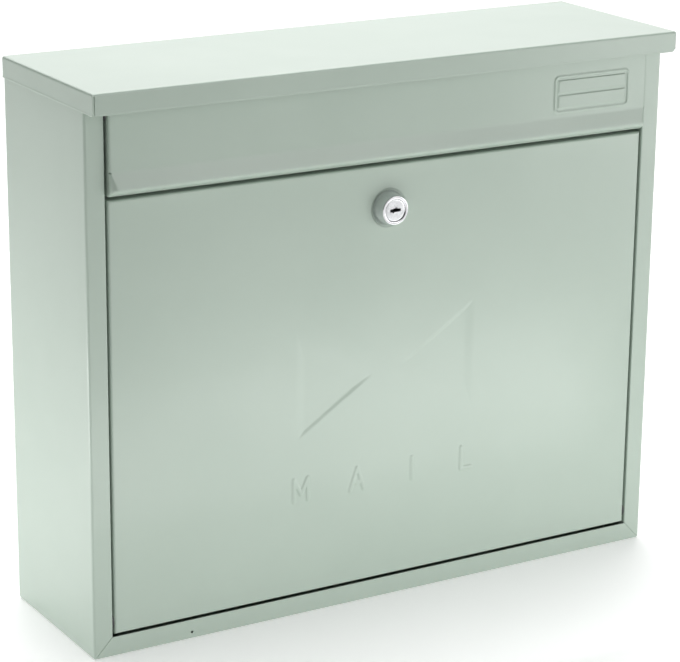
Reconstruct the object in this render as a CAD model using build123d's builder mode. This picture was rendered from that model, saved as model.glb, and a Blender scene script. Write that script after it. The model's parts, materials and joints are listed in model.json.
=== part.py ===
"""Wall-mounted sheet-steel post box.

A folded casing carries a tray roof, a bottom-hinged door with a cam lock and a top-hinged letter flap.
Millimetres. Origin: centre of the four wall holes, on the back face. +Y goes into the wall, -Y faces the
street, +X is to the right of someone facing the box, +Z is up.
"""

from build123d import *
from math import atan2, degrees, dist
import os

os.makedirs("parts", exist_ok=True)

# ---------------------------------------------------------------- driving dimensions
case_width = 361.0
total_height = 310.0
case_depth = 98.0  # back face to the front frame
steel = 0.8  # every folded sheet
fold = 1.4  # outer radius of a fold
tight_fold = 0.6  # outer radius of the fold along the frame's inner edge
frame_width = 11.1  # flange round the door and the flap
frame_return = 20.0  # how far the side flanges turn back into the case
frame_return_top_gap = 4.0  # return stops this far below the top of the case
edge_gap = 1.4  # between the frame and what it surrounds
moving_gap = 0.4  # between a closed leaf and what it closes on

roof_lip = 11.5
roof_overhang_front = 12.7
roof_overhang_side = 1.0
roof_seam = 0.5  # open slit beside the front lip
case_top_flange = 12.0  # flanges the roof is spot-welded to

wall_hole_height = 155.0  # middle of the wall holes above the base
wall_hole_spacing_x = 260.0
wall_hole_spacing_z = 200.0
wall_hole_radius = 3.5
back_flange = 12.0

door_return = 10.0
door_hinge_rise = 6.5  # hinge axis above the door's bottom edge
door_hinge_inset = 5.0  # hinge axis behind the door's face

slot_gap = 2.0  # between the door's top edge and the flap
flap_proud = 3.0  # flap face in front of the frame
flap_depth = 12.0  # flap face to the back of its sides
flap_top_drop = 7.9  # flap's top below the top of the roof
flap_height = 49.0
flap_nose_proud = 6.0  # drip nose in front of the frame
flap_nose_rise = 3.4  # nose above the flap's bottom edge
flap_flare_rise = 13.0  # start of the flare above the flap's bottom edge
flap_hem = 8.0
flap_notch_depth = 3.0  # notch where the flare begins
flap_notch_half = 0.75  # half its height at the open end
flap_flare_fold = 5.6  # radius of the bend where the flare begins
flap_hinge_drop = 6.0  # hinge axis below the flap's top
flap_hinge_inset = 7.0  # hinge axis behind the flap's face

rail_drop = 12.0  # rail's lower edge below the door's top
rail_height = 27.0
rail_shelf = 12.0
rail_tab = 10.0

pin_radius = 2.0
pin_clearance = 0.05
pin_reach = 4.4  # pin's end beyond the frame's return
pin_head_radius = 2.8
pin_head = 1.2
washer_radius = 4.5
washer_clearance = 0.1
washer_thickness = 1.0

rivet_radius = 1.6
rivet_head_radius = 3.2
rivet_head = 1.0
rivet_head_round = 0.6
rivet_tail = 1.4
rivet_tail_radius = 2.4
rivet_pitch = 13.0
buffer_radius = 4.0
buffer_spread = 240.0

lock_drop = 24.0  # lock axis below the door's top edge
lock_recess_radius = 11.0
lock_recess_depth = 1.0
lock_recess_slope = 1.0
lock_base_radius = 9.8
lock_front_radius = 8.0
lock_head = 8.0
lock_edge = 0.4
end_play = 0.1
lock_body_radius = 7.0
lock_body_length = 16.5
lock_hole_clearance = 0.1
lock_washer_radius = 10.0
lock_washer_thickness = 0.6
lock_nut_flats = 19.0
lock_nut_thickness = 3.0
plug_face_radius = 6.2
plug_face_thickness = 3.0
plug_radius = 4.8
plug_clearance = 0.05
plug_recess = 0.3
keyway_width = 6.6
keyway_height = 1.7
keyway_depth = 16.0
keyway_ward_radius = 1.3
keyway_nick_x = -1.3
keyway_nick_radius = 0.65
drive_square = 6.0
drive_clearance = 0.1
stop_washer_thickness = 0.7
stop_washer_radius = 6.5
cam_thickness = 1.8
cam_width = 12.0
cam_crank_reach = 13.0  # lock axis to the far side of the crank
cam_length = 34.0
screw_head_radius = 4.2
screw_head_thickness = 1.6
screw_radius = 1.5
screw_length = 6.0
cross_recess = 0.9

emblem_width = 116.0
emblem_height = 67.0
emblem_rise = 89.0  # emblem's lower edge above the door's bottom edge
emblem_apex_gap = 12.0
relief = 0.5  # height of the pressed figures
letter_height = 15.0
letter_width = 11.0
letter_stroke = 2.2
letter_rise = 54.0  # letters' lower edge above the door's bottom edge
letter_pitch = 36.0
badge_width = 52.0
badge_height = 22.0
badge_centre_x = 130.5
badge_rise = 26.0
badge_radius = 4.0
jig_hole_radius = 0.75
jig_hole_x = -121.8
jig_hole_rise = 3.9

# ---------------------------------------------------------------- derived positions
base_z = -wall_hole_height
top_z = base_z + total_height
case_top_z = top_z - steel
case_height = case_top_z - base_z
side_x = case_width / 2
front_y = -case_depth
return_x = side_x - frame_width  # face of the side returns towards the door

leaf_width = case_width - 2 * (frame_width + edge_gap)
leaf_x = leaf_width / 2
flap_top_z = top_z - flap_top_drop
flap_bottom_z = flap_top_z - flap_height
door_bottom_z = base_z + frame_width + edge_gap
door_top_z = flap_bottom_z - slot_gap
door_back_y = front_y + door_return
door_axis_y = front_y + door_hinge_inset
door_axis_z = door_bottom_z + door_hinge_rise

flap_face_y = front_y - flap_proud
flap_back_y = flap_face_y + flap_depth
flap_axis_y = flap_face_y + flap_hinge_inset
flap_axis_z = flap_top_z - flap_hinge_drop

rail_front_y = door_back_y + moving_gap
rail_back_y = rail_front_y + steel
rail_bottom_z = door_top_z - rail_drop
rail_top_z = rail_bottom_z + rail_height

lock_z = door_top_z - lock_drop
recess_floor_y = front_y + lock_recess_depth
lock_face_y = recess_floor_y - lock_head
lock_body_back_y = recess_floor_y + lock_body_length
lock_washer_front_y = recess_floor_y + steel
cam_hub_front_y = lock_body_back_y + end_play + stop_washer_thickness
cam_hub_back_y = cam_hub_front_y + cam_thickness
cam_arm_front_y = rail_back_y + moving_gap

# ---------------------------------------------------------------- casing
with BuildPart() as casing:
    with BuildSketch(Plane.XY.offset(base_z)):
        with Locations((0, front_y / 2)):
            Rectangle(case_width, case_depth)
    extrude(amount=case_height)
    upright = casing.edges().filter_by(Axis.Z).group_by(Axis.Y)[0]
    underside = casing.faces().sort_by(Axis.Z)[0].edges()
    fillet(upright + (underside - underside.sort_by(Axis.Y)[-1:]), radius=fold)
    open_faces = [casing.faces().sort_by(Axis.Z)[-1], casing.faces().sort_by(Axis.Y)[-1]]
    offset(amount=-steel, openings=open_faces)
    # opening of the front frame, from the bottom flange to the roof
    opening_bottom_z = base_z + frame_width
    with BuildSketch(Plane.XZ.offset(case_depth)):
        with Locations((0, (opening_bottom_z + case_top_z) / 2)):
            Rectangle(2 * (return_x + steel), case_top_z - opening_bottom_z)
    extrude(amount=-2 * steel, mode=Mode.SUBTRACT)
    # side returns, folded back from the frame
    return_top_z = case_top_z - frame_return_top_gap
    with BuildSketch(Plane.XY.offset(base_z + steel)) as return_section:
        for side in (-1, 1):
            with Locations((side * (return_x + steel / 2), front_y + frame_return / 2)):
                Rectangle(steel, frame_return)
        front_corners = return_section.vertices().group_by(Axis.Y)[0]
        inner_corners = front_corners.sort_by(lambda corner: abs(corner.X))[:2]
        fillet(inner_corners, radius=tight_fold)
    extrude(amount=return_top_z - base_z - steel)
    # flanges under the roof
    with BuildSketch(Plane.XY.offset(case_top_z - steel)):
        for side in (-1, 1):
            with Locations((side * (side_x - steel - case_top_flange / 2), (front_y + frame_return) / 2)):
                Rectangle(case_top_flange, case_depth - frame_return - steel)
    extrude(amount=steel)
    # hinge pin holes and rivet holes through the side returns
    with BuildSketch(Plane.YZ.offset(-side_x + 2 * steel)):
        with Locations((door_axis_y, door_axis_z), (flap_axis_y, flap_axis_z)):
            Circle(pin_radius)
        with Locations((rail_back_y + rail_tab / 2, (rail_bottom_z + rail_top_z) / 2)):
            with GridLocations(1, rivet_pitch, 1, 2):
                Circle(rivet_radius)
    extrude(amount=case_width - 4 * steel, mode=Mode.SUBTRACT)
    # jig hole in the bottom flange
    with BuildSketch(Plane.XZ.offset(case_depth)):
        with Locations((jig_hole_x, base_z + jig_hole_rise)):
            Circle(jig_hole_radius)
    extrude(amount=-2 * steel, mode=Mode.SUBTRACT)

casing.part.label = "casing"
export_step(casing.part, "parts/casing.step")

# ---------------------------------------------------------------- back panel
panel_width = case_width - 2 * steel
panel_bottom_z = base_z + steel
with BuildPart() as back_panel:
    with BuildSketch(Plane.XZ):
        with Locations((0, (panel_bottom_z + case_top_z) / 2)):
            Rectangle(panel_width, case_top_z - panel_bottom_z)
    extrude(amount=back_flange)
    fillet(back_panel.edges().filter_by(Axis.Y).group_by(Axis.Z)[0], radius=fold - steel)
    inner_face = back_panel.faces().sort_by(Axis.Y)[0]
    top_face = back_panel.faces().sort_by(Axis.Z)[-1]
    offset(amount=-steel, openings=[inner_face, top_face])
    # room for the flanges under the roof
    with BuildSketch(Plane.XY.offset(case_top_z)):
        with Locations((0, -steel - back_flange / 2)):
            Rectangle(case_width, back_flange)
    extrude(amount=-frame_return_top_gap, mode=Mode.SUBTRACT)
    with BuildSketch(Plane.XY.offset(case_top_z)):
        with Locations((0, -steel / 2)):
            Rectangle(case_width, steel)
    extrude(amount=-steel, mode=Mode.SUBTRACT)
    # wall holes
    with BuildSketch(Plane.XZ):
        with GridLocations(wall_hole_spacing_x, wall_hole_spacing_z, 2, 2):
            Circle(wall_hole_radius)
    extrude(amount=steel, mode=Mode.SUBTRACT)

back_panel.part.label = "back_panel"
export_step(back_panel.part, "parts/back_panel.step")

# ---------------------------------------------------------------- roof
roof_width = case_width + 2 * roof_overhang_side
roof_depth = case_depth + roof_overhang_front
roof_front_y = -roof_depth
with BuildPart() as roof:
    with BuildSketch(Plane.XY.offset(top_z - roof_lip)):
        with Locations((0, roof_front_y / 2)):
            Rectangle(roof_width, roof_depth)
    extrude(amount=roof_lip)
    open_faces = [roof.faces().sort_by(Axis.Z)[0], roof.faces().sort_by(Axis.Y)[-1]]
    offset(amount=-steel, openings=open_faces)
    top_edges = roof.faces().sort_by(Axis.Z)[-1].edges()
    fillet(top_edges - top_edges.sort_by(Axis.Y)[-1:], radius=fold)
    # the front lip is free at both ends
    with BuildSketch(Plane.XY.offset(top_z - roof_lip)):
        for side in (-1, 1):
            slit_x = side * (side_x + roof_overhang_side - steel - roof_seam / 2)
            with Locations((slit_x, roof_front_y + steel / 2)):
                Rectangle(roof_seam, steel)
    extrude(amount=roof_lip - fold, mode=Mode.SUBTRACT)

roof.part.label = "roof"
export_step(roof.part, "parts/roof.step")

# ---------------------------------------------------------------- cross rail
with BuildPart() as cross_rail:
    rail_length = 2 * return_x
    with BuildSketch(Plane.YZ.offset(-return_x)):
        with BuildLine():
            Polyline(
                (rail_front_y, rail_bottom_z),
                (rail_front_y, rail_top_z),
                (rail_front_y + rail_shelf, rail_top_z),
                (rail_front_y + rail_shelf, rail_top_z - steel),
                (rail_back_y, rail_top_z - steel),
                (rail_back_y, rail_bottom_z),
                close=True,
            )
        make_face()
    extrude(amount=rail_length)
    top_front = cross_rail.edges().filter_by(Axis.X).group_by(Axis.Z)[-1].sort_by(Axis.Y)[0]
    fillet(top_front, radius=fold)
    # end tabs against the side returns
    with BuildSketch(Plane.XZ.offset(-rail_back_y)):
        for side in (-1, 1):
            with Locations((side * (return_x - steel / 2), (rail_bottom_z + rail_top_z - steel) / 2)):
                Rectangle(steel, rail_height - steel)
    extrude(amount=-rail_tab)
    with BuildSketch(Plane.YZ.offset(-return_x)):
        with Locations((rail_back_y + rail_tab / 2, (rail_bottom_z + rail_top_z) / 2)):
            with GridLocations(1, rivet_pitch, 1, 2):
                Circle(rivet_radius)
    extrude(amount=rail_length, mode=Mode.SUBTRACT)

cross_rail.part.label = "cross_rail"
export_step(cross_rail.part, "parts/cross_rail.step")

with BuildPart() as rail_rivets:
    grip = 2 * steel
    with BuildSketch(Plane.YZ.offset(return_x - steel - rivet_head)):
        with Locations((rail_back_y + rail_tab / 2, (rail_bottom_z + rail_top_z) / 2)):
            with GridLocations(1, rivet_pitch, 1, 2):
                Circle(rivet_head_radius)
    extrude(amount=rivet_head)
    head_rims = rail_rivets.edges().filter_by(GeomType.CIRCLE).group_by(Axis.X)[0]
    fillet(head_rims, radius=rivet_head_round)
    with BuildSketch(Plane.YZ.offset(return_x - steel)):
        with Locations((rail_back_y + rail_tab / 2, (rail_bottom_z + rail_top_z) / 2)):
            with GridLocations(1, rivet_pitch, 1, 2):
                Circle(rivet_radius)
    extrude(amount=grip)
    with BuildSketch(Plane.YZ.offset(return_x + steel)):
        with Locations((rail_back_y + rail_tab / 2, (rail_bottom_z + rail_top_z) / 2)):
            with GridLocations(1, rivet_pitch, 1, 2):
                Circle(rivet_tail_radius)
    extrude(amount=rivet_tail)
    mirror(about=Plane.YZ)

rail_rivets.part.label = "rail_rivets"
export_step(rail_rivets.part, "parts/rail_rivets.step")

with BuildPart() as flap_buffers:
    buffer_height = rail_front_y - flap_back_y - moving_gap
    with BuildSketch(Plane.XZ.offset(-rail_front_y)):
        with Locations((0, flap_bottom_z + flap_hem / 2)):
            with GridLocations(buffer_spread, 1, 2, 1):
                Circle(buffer_radius)
    extrude(amount=buffer_height)

flap_buffers.part.label = "flap_buffers"
export_step(flap_buffers.part, "parts/flap_buffers.step")


# ---------------------------------------------------------------- hinge pins and washers
def build_hinge_pin(axis_y, axis_z, side):
    """Headed pin: the head sits outside the side return and the shank points into the box."""
    with BuildPart() as pin:
        with BuildSketch(Plane.YZ.offset(side * (return_x + steel))):
            with Locations((axis_y, axis_z)):
                Circle(pin_head_radius)
        extrude(amount=side * pin_head)
        with BuildSketch(Plane.YZ.offset(side * (return_x + steel))):
            with Locations((axis_y, axis_z)):
                Circle(pin_radius)
        extrude(amount=-side * (steel + pin_reach))
    return pin.part


def build_washers(axis_y, axis_z):
    """Two nylon washers that keep a leaf central between the side returns."""
    washer_gap = (edge_gap - washer_thickness) / 2
    with BuildPart() as washers:
        with BuildSketch(Plane.YZ.offset(return_x - washer_gap)):
            with Locations((axis_y, axis_z)):
                Circle(washer_radius)
                Circle(pin_radius + washer_clearance, mode=Mode.SUBTRACT)
        extrude(amount=-washer_thickness)
        mirror(about=Plane.YZ)
    return washers.part


door_pin_left = build_hinge_pin(door_axis_y, door_axis_z, -1)
door_pin_left.label = "door_pin_left"
export_step(door_pin_left, "parts/door_pin_left.step")

door_pin_right = build_hinge_pin(door_axis_y, door_axis_z, 1)
door_pin_right.label = "door_pin_right"
export_step(door_pin_right, "parts/door_pin_right.step")

flap_pin_left = build_hinge_pin(flap_axis_y, flap_axis_z, -1)
flap_pin_left.label = "flap_pin_left"
export_step(flap_pin_left, "parts/flap_pin_left.step")

flap_pin_right = build_hinge_pin(flap_axis_y, flap_axis_z, 1)
flap_pin_right.label = "flap_pin_right"
export_step(flap_pin_right, "parts/flap_pin_right.step")

door_washers = build_washers(door_axis_y, door_axis_z)
door_washers.label = "door_washers"
export_step(door_washers, "parts/door_washers.step")

flap_washers = build_washers(flap_axis_y, flap_axis_z)
flap_washers.label = "flap_washers"
export_step(flap_washers, "parts/flap_washers.step")

# ---------------------------------------------------------------- door
# each stroke runs between two corners of the letter, given as shares of its width and height
letter_m = [((0, 0), (0, 1)), ((0, 1), (0.5, 0.3)), ((0.5, 0.3), (1, 1)), ((1, 1), (1, 0))]
letter_a = [((0, 0), (0.5, 1)), ((0.5, 1), (1, 0)), ((0.2, 0.35), (0.8, 0.35))]
letter_i = [((0.5, 0), (0.5, 1))]
letter_l = [((0.15, 1), (0.15, 0)), ((0.15, 0), (0.9, 0))]
word_mail = [letter_m, letter_a, letter_i, letter_l]


def draw_stroke(left_x, foot_z, start, end):
    """Round-ended stroke of one letter, inside the open sketch."""
    width = letter_width - letter_stroke
    height = letter_height - letter_stroke
    first = (start[0] * width, start[1] * height)
    last = (end[0] * width, end[1] * height)
    middle_x = left_x + letter_stroke / 2 + (first[0] + last[0]) / 2
    middle_z = foot_z + letter_stroke / 2 + (first[1] + last[1]) / 2
    turn = degrees(atan2(last[1] - first[1], last[0] - first[0]))
    with Locations((middle_x, middle_z)):
        SlotCenterToCenter(dist(first, last), letter_stroke, rotation=turn)


letter_foot_z = door_bottom_z + letter_rise
emblem_bottom_z = door_bottom_z + emblem_rise
emblem_middle_z = emblem_bottom_z + emblem_height / 2


def draw_emblem():
    """Left and right corner of a letter."""
    for side in (-1, 1):
        Polygon(
            (side * emblem_width / 2, emblem_bottom_z),
            (side * emblem_width / 2, emblem_bottom_z + emblem_height),
            (side * emblem_apex_gap / 2, emblem_middle_z),
            align=None,
        )


with BuildPart() as door:
    with BuildSketch(Plane.XZ.offset(-door_back_y)):
        with Locations((0, (door_bottom_z + door_top_z) / 2)):
            Rectangle(leaf_width, door_top_z - door_bottom_z)
    extrude(amount=door_return)
    fillet(door.faces().sort_by(Axis.Y)[0].edges(), radius=fold)
    offset(amount=-steel, openings=door.faces().sort_by(Axis.Y)[-1])
    # letter pressed inwards
    with BuildSketch(Plane.XZ.offset(case_depth - steel / 2)):
        draw_emblem()
    extrude(amount=-(steel / 2 + relief))
    with BuildSketch(Plane.XZ.offset(case_depth)):
        draw_emblem()
    extrude(amount=-relief, mode=Mode.SUBTRACT)
    # four capitals pressed outwards
    with BuildSketch(Plane.XZ.offset(case_depth - steel / 2)):
        for index, strokes in enumerate(word_mail):
            left_x = (index - 1.5) * letter_pitch - letter_width / 2
            for start, end in strokes:
                draw_stroke(left_x, letter_foot_z, start, end)
    extrude(amount=steel / 2 + relief)
    # recess and hole for the lock
    with BuildSketch(Plane.XZ.offset(case_depth)):
        with Locations((0, lock_z)):
            Circle(lock_recess_radius + steel)
    extrude(amount=-(lock_recess_depth + steel))
    with BuildSketch(Plane.XZ.offset(case_depth)):
        with Locations((0, lock_z)):
            Circle(lock_recess_radius)
    with BuildSketch(Plane.XZ.offset(-recess_floor_y)):
        with Locations((0, lock_z)):
            Circle(lock_recess_radius - lock_recess_slope)
    loft(mode=Mode.SUBTRACT)
    with BuildSketch(Plane.XZ.offset(case_depth)):
        with Locations((0, lock_z)):
            Circle(lock_body_radius + lock_hole_clearance)
    extrude(amount=-door_return, mode=Mode.SUBTRACT)
    # hinge holes in the side returns
    with BuildSketch(Plane.YZ.offset(-leaf_x)):
        with Locations((door_axis_y, door_axis_z)):
            Circle(pin_radius + pin_clearance)
    extrude(amount=leaf_width, mode=Mode.SUBTRACT)

door.part.label = "door"
export_step(door.part, "parts/door.step")

# ---------------------------------------------------------------- flap
with BuildPart() as flap:
    with BuildSketch(Plane.YZ.offset(-leaf_x)):
        with BuildLine():
            Polyline(
                (flap_back_y, flap_bottom_z),
                (front_y, flap_bottom_z),
                (front_y - flap_nose_proud, flap_bottom_z + flap_nose_rise),
                (flap_face_y, flap_bottom_z + flap_flare_rise),
                (flap_face_y, flap_top_z),
                (flap_back_y, flap_top_z),
                close=True,
            )
        make_face()
    extrude(amount=leaf_width)
    across = flap.edges().filter_by(Axis.X)
    flare_start = across.sort_by_distance((0, flap_face_y, flap_bottom_z + flap_flare_rise))[0]
    nose = across.sort_by_distance((0, front_y - flap_nose_proud, flap_bottom_z + flap_nose_rise))[0]
    top_fold = across.sort_by_distance((0, flap_face_y, flap_top_z))[0]
    fillet(flare_start, radius=flap_flare_fold)
    fillet([nose, top_fold], radius=fold)
    offset(amount=-steel, openings=flap.faces().sort_by(Axis.Y)[-1])
    # pressed blank name field
    with BuildSketch(Plane.XZ.offset(-flap_face_y - steel / 2)):
        with Locations((badge_centre_x, flap_bottom_z + badge_rise)):
            RectangleRounded(badge_width, badge_height, badge_radius)
    extrude(amount=steel / 2 + relief)
    # hem turned up behind the bottom edge
    with BuildSketch(Plane.XZ.offset(-flap_back_y)):
        with Locations((0, flap_bottom_z + flap_hem / 2)):
            Rectangle(leaf_width - 2 * steel, flap_hem)
    extrude(amount=steel)
    # relief notch in each side, where the flare begins
    notch_z = flap_bottom_z + flap_flare_rise
    for notch_x in (-leaf_x, leaf_x - steel):
        with BuildSketch(Plane.YZ.offset(notch_x)):
            with BuildLine():
                Polyline(
                    (flap_face_y - flap_nose_proud, notch_z - flap_notch_half),
                    (flap_face_y + flap_notch_depth, notch_z),
                    (flap_face_y - flap_nose_proud, notch_z + flap_notch_half),
                    close=True,
                )
            make_face()
        extrude(amount=steel, mode=Mode.SUBTRACT)
    # hinge holes in the sides
    with BuildSketch(Plane.YZ.offset(-leaf_x)):
        with Locations((flap_axis_y, flap_axis_z)):
            Circle(pin_radius + pin_clearance)
    extrude(amount=leaf_width, mode=Mode.SUBTRACT)

flap.part.label = "flap"
export_step(flap.part, "parts/flap.step")

# ---------------------------------------------------------------- lock
with BuildPart() as lock_housing:
    # tapered head
    with BuildSketch(Plane.XZ.offset(-recess_floor_y)):
        with Locations((0, lock_z)):
            Circle(lock_base_radius)
    with BuildSketch(Plane.XZ.offset(-lock_face_y)):
        with Locations((0, lock_z)):
            Circle(lock_front_radius)
    loft()
    fillet(lock_housing.edges().sort_by(Axis.Y)[0], radius=lock_edge)
    # body through the door
    with BuildSketch(Plane.XZ.offset(-recess_floor_y)):
        with Locations((0, lock_z)):
            Circle(lock_body_radius)
    extrude(amount=-lock_body_length)
    # seat and bore for the plug
    with BuildSketch(Plane.XZ.offset(-lock_face_y)):
        with Locations((0, lock_z)):
            Circle(plug_face_radius + plug_clearance)
    extrude(amount=-(plug_recess + plug_face_thickness + end_play), mode=Mode.SUBTRACT)
    with BuildSketch(Plane.XZ.offset(-lock_face_y)):
        with Locations((0, lock_z)):
            Circle(plug_radius + plug_clearance)
    extrude(amount=-(lock_head + lock_body_length), mode=Mode.SUBTRACT)

lock_housing.part.label = "lock_housing"
export_step(lock_housing.part, "parts/lock_housing.step")

with BuildPart() as lock_washer:
    with BuildSketch(Plane.XZ.offset(-lock_washer_front_y)):
        with Locations((0, lock_z)):
            Circle(lock_washer_radius)
            Circle(lock_body_radius + lock_hole_clearance, mode=Mode.SUBTRACT)
    extrude(amount=-lock_washer_thickness)

lock_washer.part.label = "lock_washer"
export_step(lock_washer.part, "parts/lock_washer.step")

with BuildPart() as lock_nut:
    with BuildSketch(Plane.XZ.offset(-(lock_washer_front_y + lock_washer_thickness))):
        with Locations((0, lock_z)):
            RegularPolygon(lock_nut_flats / 2, side_count=6, major_radius=False)
            Circle(lock_body_radius, mode=Mode.SUBTRACT)
    extrude(amount=-lock_nut_thickness)

lock_nut.part.label = "lock_nut"
export_step(lock_nut.part, "parts/lock_nut.step")

plug_face_y = lock_face_y + plug_recess
drive_back_y = cam_hub_back_y - end_play
with BuildPart() as lock_plug:
    with BuildSketch(Plane.XZ.offset(-plug_face_y)):
        with Locations((0, lock_z)):
            Circle(plug_face_radius)
    extrude(amount=-plug_face_thickness)
    fillet(lock_plug.edges().sort_by(Axis.Y)[0], radius=lock_edge)
    with BuildSketch(Plane.XZ.offset(-plug_face_y)):
        with Locations((0, lock_z)):
            Circle(plug_radius)
    extrude(amount=-(lock_body_back_y - plug_face_y))
    with BuildSketch(Plane.XZ.offset(-lock_body_back_y)):
        with Locations((0, lock_z)):
            Rectangle(drive_square, drive_square)
    extrude(amount=-(drive_back_y - lock_body_back_y))
    # keyway with a round ward above and a nick below
    with BuildSketch(Plane.XZ.offset(-plug_face_y)):
        with Locations((0, lock_z)):
            Rectangle(keyway_width, keyway_height)
        with Locations((0, lock_z + keyway_height / 2)):
            Circle(keyway_ward_radius)
        with Locations((keyway_nick_x, lock_z - keyway_height / 2)):
            Circle(keyway_nick_radius)
    extrude(amount=-keyway_depth, mode=Mode.SUBTRACT)
    # tapped hole for the cam screw
    with BuildSketch(Plane.XZ.offset(-cam_hub_back_y)):
        with Locations((0, lock_z)):
            Circle(screw_radius)
    extrude(amount=screw_length, mode=Mode.SUBTRACT)

lock_plug.part.label = "lock_plug"
export_step(lock_plug.part, "parts/lock_plug.step")

with BuildPart() as cam_stop_washer:
    with BuildSketch(Plane.XZ.offset(-(lock_body_back_y + end_play))):
        with Locations((0, lock_z)):
            Circle(stop_washer_radius)
            Rectangle(drive_square + drive_clearance, drive_square + drive_clearance, mode=Mode.SUBTRACT)
    extrude(amount=-stop_washer_thickness)

cam_stop_washer.part.label = "cam_stop_washer"
export_step(cam_stop_washer.part, "parts/cam_stop_washer.step")

with BuildPart() as lock_cam:
    with BuildSketch(Plane.XY.offset(lock_z - cam_width / 2)):
        with BuildLine():
            Polyline(
                (cam_width / 2, cam_hub_front_y),
                (-cam_crank_reach + cam_thickness, cam_hub_front_y),
                (-cam_crank_reach + cam_thickness, cam_arm_front_y),
                (-cam_length, cam_arm_front_y),
                (-cam_length, cam_arm_front_y + cam_thickness),
                (-cam_crank_reach, cam_arm_front_y + cam_thickness),
                (-cam_crank_reach, cam_hub_back_y),
                (cam_width / 2, cam_hub_back_y),
                close=True,
            )
        make_face()
    extrude(amount=cam_width)
    # rounded ends
    along_lock = lock_cam.edges().filter_by(Axis.Y).group_by(Axis.X)
    fillet(along_lock[0] + along_lock[-1], radius=cam_width / 2 - steel)
    with BuildSketch(Plane.XZ.offset(-cam_hub_front_y)):
        with Locations((0, lock_z)):
            Rectangle(drive_square + drive_clearance, drive_square + drive_clearance)
    extrude(amount=-cam_thickness, mode=Mode.SUBTRACT)

lock_cam.part.label = "lock_cam"
export_step(lock_cam.part, "parts/lock_cam.step")

with BuildPart() as cam_screw:
    with BuildSketch(Plane.XZ.offset(-cam_hub_back_y)):
        with Locations((0, lock_z)):
            Circle(screw_head_radius)
    extrude(amount=-screw_head_thickness)
    fillet(cam_screw.edges().sort_by(Axis.Y)[-1], radius=screw_head_thickness / 2)
    with BuildSketch(Plane.XZ.offset(-cam_hub_back_y)):
        with Locations((0, lock_z)):
            Circle(screw_radius)
    extrude(amount=screw_length)
    # cross recess
    with BuildSketch(Plane.XZ.offset(-(cam_hub_back_y + screw_head_thickness))):
        with Locations((0, lock_z)):
            Rectangle(screw_head_radius, cross_recess)
            Rectangle(cross_recess, screw_head_radius)
    extrude(amount=cross_recess, mode=Mode.SUBTRACT)

cam_screw.part.label = "cam_screw"
export_step(cam_screw.part, "parts/cam_screw.step")
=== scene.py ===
# %% [markdown]
# # A wall-mounted post box in folded steel
# The box is a handful of thin folded sheets with a powder coat, a chrome cam lock and a few pins and rivets.
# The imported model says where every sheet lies. This lesson makes each sheet again as a fine surface with
# round folds and pressed figures, gives it its thickness, and paints everything with procedural materials.

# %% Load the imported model
import bmesh
import bpy
import json
import numpy as np
from math import atan2, cos, hypot, pi, radians, sin
from mathutils import Matrix, Vector


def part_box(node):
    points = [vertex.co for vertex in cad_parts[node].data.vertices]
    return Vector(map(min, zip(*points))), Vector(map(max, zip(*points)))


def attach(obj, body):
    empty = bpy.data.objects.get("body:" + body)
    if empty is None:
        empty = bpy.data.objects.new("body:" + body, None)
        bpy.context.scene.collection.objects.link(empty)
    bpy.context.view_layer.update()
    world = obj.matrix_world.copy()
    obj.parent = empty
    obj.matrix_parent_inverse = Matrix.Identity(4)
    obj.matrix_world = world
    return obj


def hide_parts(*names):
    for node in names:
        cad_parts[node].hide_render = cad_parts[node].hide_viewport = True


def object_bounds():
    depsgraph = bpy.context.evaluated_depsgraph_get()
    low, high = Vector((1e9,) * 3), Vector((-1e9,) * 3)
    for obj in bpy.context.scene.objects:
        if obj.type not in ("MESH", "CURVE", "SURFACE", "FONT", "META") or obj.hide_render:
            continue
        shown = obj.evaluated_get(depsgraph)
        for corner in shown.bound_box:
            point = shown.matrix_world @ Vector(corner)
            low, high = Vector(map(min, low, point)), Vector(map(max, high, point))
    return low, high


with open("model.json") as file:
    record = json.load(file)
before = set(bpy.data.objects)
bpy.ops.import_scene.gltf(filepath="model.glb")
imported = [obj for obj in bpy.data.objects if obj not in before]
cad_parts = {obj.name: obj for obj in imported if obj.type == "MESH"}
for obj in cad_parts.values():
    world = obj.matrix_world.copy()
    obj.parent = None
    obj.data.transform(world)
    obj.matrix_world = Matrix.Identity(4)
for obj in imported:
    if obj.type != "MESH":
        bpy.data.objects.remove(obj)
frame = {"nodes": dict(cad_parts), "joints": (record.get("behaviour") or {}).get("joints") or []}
cad_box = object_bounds()
MM = 0.001
size_mm = [(high - low) / MM for low, high in zip(*cad_box)]
print("the whole object measures", [round(value, 1) for value in size_mm], "mm")

# %% [markdown]
# ## Camera
# A long lens from the left front and a little above, turned towards the box. The heading, the tilt and the
# small roll are set as angles, so that the view can be read and changed like a stage plan.

# %% Camera
HEADING = radians(30.80)
TILT = radians(17.29)
ROLL = radians(0.58)
LENS_MM = 135.26
CAMERA_PLACE = Vector((-0.7090, -1.2369, 0.4194))

forward = Vector((sin(HEADING) * cos(TILT), cos(HEADING) * cos(TILT), -sin(TILT)))
level_right = Vector((cos(HEADING), -sin(HEADING), 0))
level_up = level_right.cross(forward)
right = cos(ROLL) * level_right + sin(ROLL) * level_up
up = cos(ROLL) * level_up - sin(ROLL) * level_right

camera_data = bpy.data.cameras.new("camera")
camera_data.lens = LENS_MM
camera_data.sensor_width = 36
camera = bpy.data.objects.new("camera", camera_data)
camera.matrix_world = Matrix.Translation(CAMERA_PLACE) @ Matrix((right, up, -forward)).transposed().to_4x4()
bpy.context.collection.objects.link(camera)
bpy.context.scene.camera = camera
box_middle = (cad_box[0] + cad_box[1]) / 2
print("camera", round((CAMERA_PLACE - box_middle).length, 3), "m from the middle of the box")

# %% [markdown]
# ## Sizes read from the model
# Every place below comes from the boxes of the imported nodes. Only the sheet's thickness and the radii of
# the folds are stated here, because a box cannot give them.

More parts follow.
